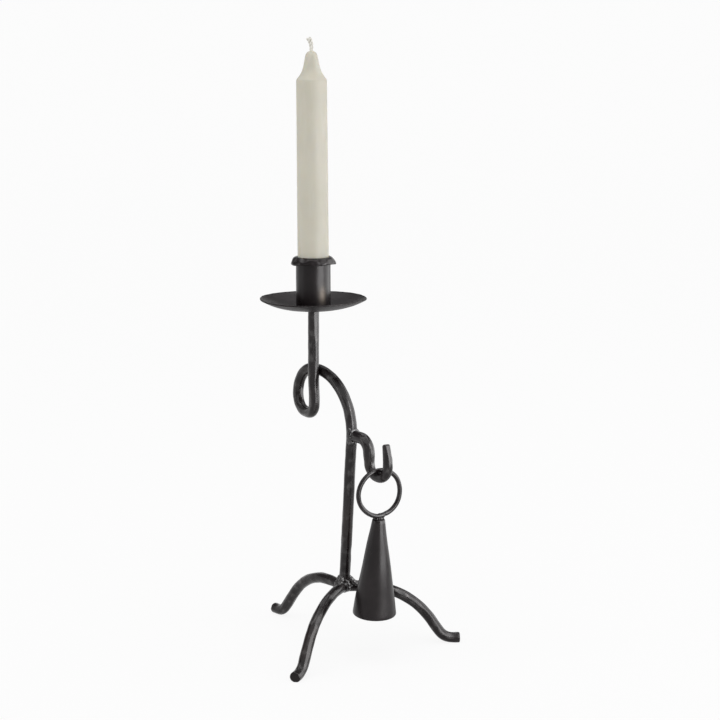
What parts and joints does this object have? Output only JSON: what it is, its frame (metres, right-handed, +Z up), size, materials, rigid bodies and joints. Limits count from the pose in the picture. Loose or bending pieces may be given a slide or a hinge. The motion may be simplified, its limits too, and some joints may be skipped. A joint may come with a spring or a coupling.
{
  "type": "candlestick",
  "caption": "Forged black iron candlestick: looped stem on a bent tripod, shallow drip pan, cup with rolled lip, ivory candle and a cone snuffer hanging from a hook.",
  "frame": {"origin": "on the floor, in the middle of the whole outline", "axes": "+Z up, +X the way the hook points from the stem, +Y to the left of that"},
  "size_m": [0.1445, 0.1464, 0.4339],
  "materials": {
    "black_iron": "black, waxed, satin",
    "weld_iron": "black, waxed, lumpy",
    "ivory_wax": "smooth, satin",
    "cotton": "braided"
  },
  "bodies": {
    "frame": {"stem": "black_iron", "leg_back": "black_iron", "leg_front": "black_iron", "leg_right": "black_iron", "base_weld": "weld_iron", "snuffer_hook": "black_iron", "hook_weld": "weld_iron", "drip_pan": "black_iron", "pan_weld": "weld_iron", "candle_cup": "black_iron", "cup_weld": "weld_iron"},
    "snuffer": {"snuffer_cone": "black_iron", "snuffer_ring": "black_iron", "ring_weld": "weld_iron"},
    "candle": {"candle_wax": "ivory_wax", "candle_wick": "cotton"}
  },
  "joints": [
    {"name": "snuffer_swing", "type": "hinge", "parent": "frame", "child": "snuffer", "pos_m": [0.05985, 0.00178, 0.1326], "axis": [1, 0, 0], "range_deg": [-13, 10]},
    {"name": "candle_lift", "type": "slide", "parent": "frame", "child": "candle", "axis": [0, 0, 1], "range_m": [0, 0.036]}
  ]
}
